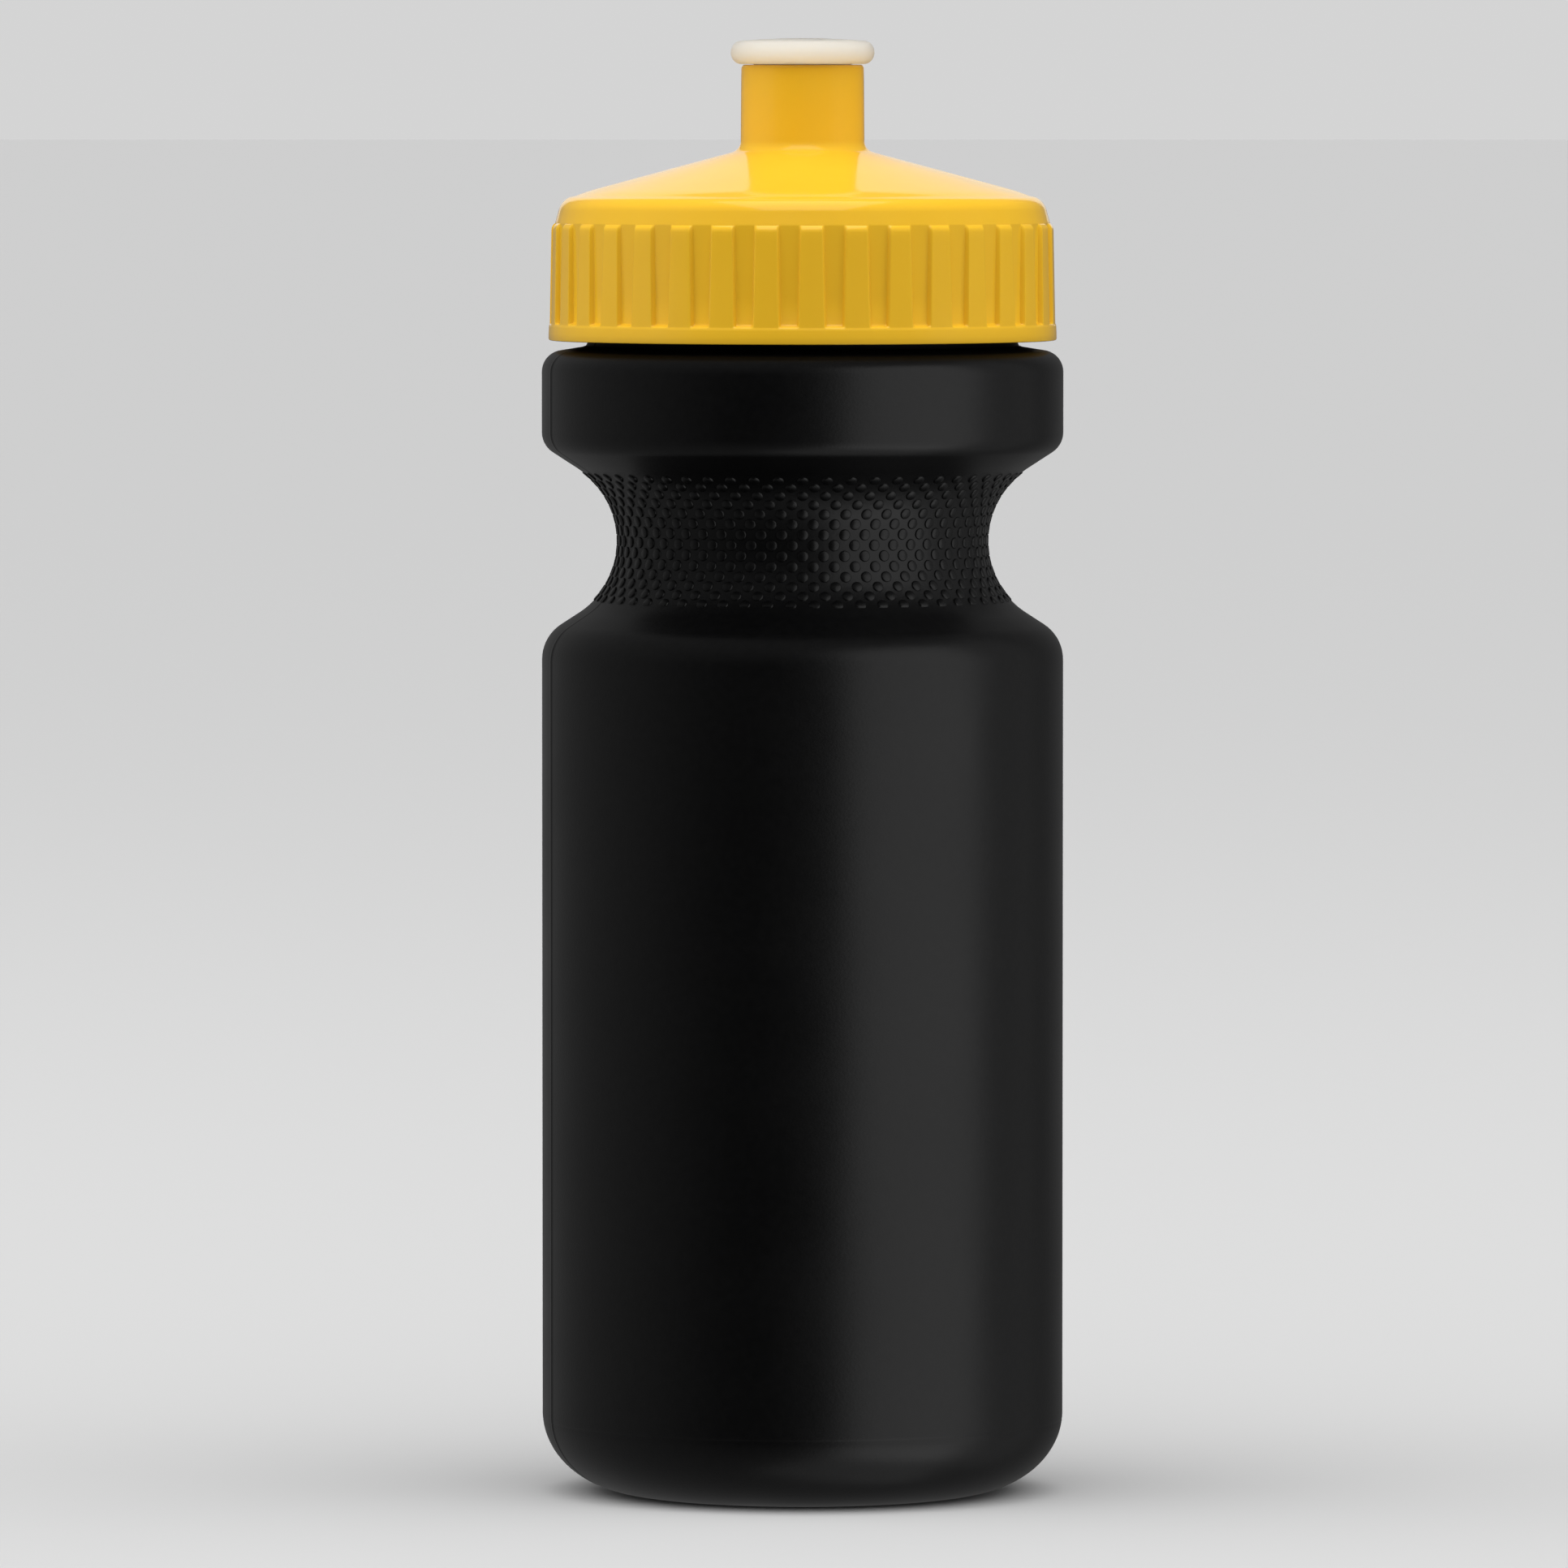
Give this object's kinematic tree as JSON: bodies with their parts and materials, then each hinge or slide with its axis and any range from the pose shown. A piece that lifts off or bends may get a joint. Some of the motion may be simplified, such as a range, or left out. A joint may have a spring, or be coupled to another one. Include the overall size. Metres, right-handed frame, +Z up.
{
  "type": "sports squeeze bottle",
  "caption": "Cylindrical squeeze bottle with a narrow grip waist, a ribbed screw lid, a domed shoulder and a push-pull drinking spout; for water or sports drink.",
  "frame": {"origin": "centre of the base, on the plane that the bottle stands on", "axes": "+Z up along the bottle's axis, -Y towards the viewer of the front, +X to the viewer's right"},
  "size_m": [0.073, 0.073, 0.2037],
  "materials": {
    "bottle_plastic": "satin, fine moulded grain",
    "lid_plastic": "glossy",
    "seal_rubber": "matte",
    "mouthpiece_plastic": "natural translucent, satin"
  },
  "bodies": {
    "bottle": {"bottle_body": "bottle_plastic"},
    "seal": {"sealing_ring": "seal_rubber"},
    "lid": {"screw_lid": "lid_plastic"},
    "mouthpiece": {"mouthpiece": "mouthpiece_plastic"}
  },
  "joints": [
    {"name": "lid_lift", "type": "slide", "parent": "bottle", "child": "seal", "axis": [0, 0, 1], "range_m": [0, 0.0176]},
    {"name": "lid_turn", "type": "hinge", "parent": "seal", "child": "lid", "pos_m": [0, 0, 0], "axis": [0, 0, 1], "range_deg": [0, 1260]},
    {"name": "mouthpiece_pull", "type": "slide", "parent": "lid", "child": "mouthpiece", "axis": [0, 0, 1], "range_m": [0, 0.007]}
  ],
  "couplings": [
    {"joint": "lid_lift", "follows": "lid_turn", "m_per_rad": 0.00079577}
  ]
}
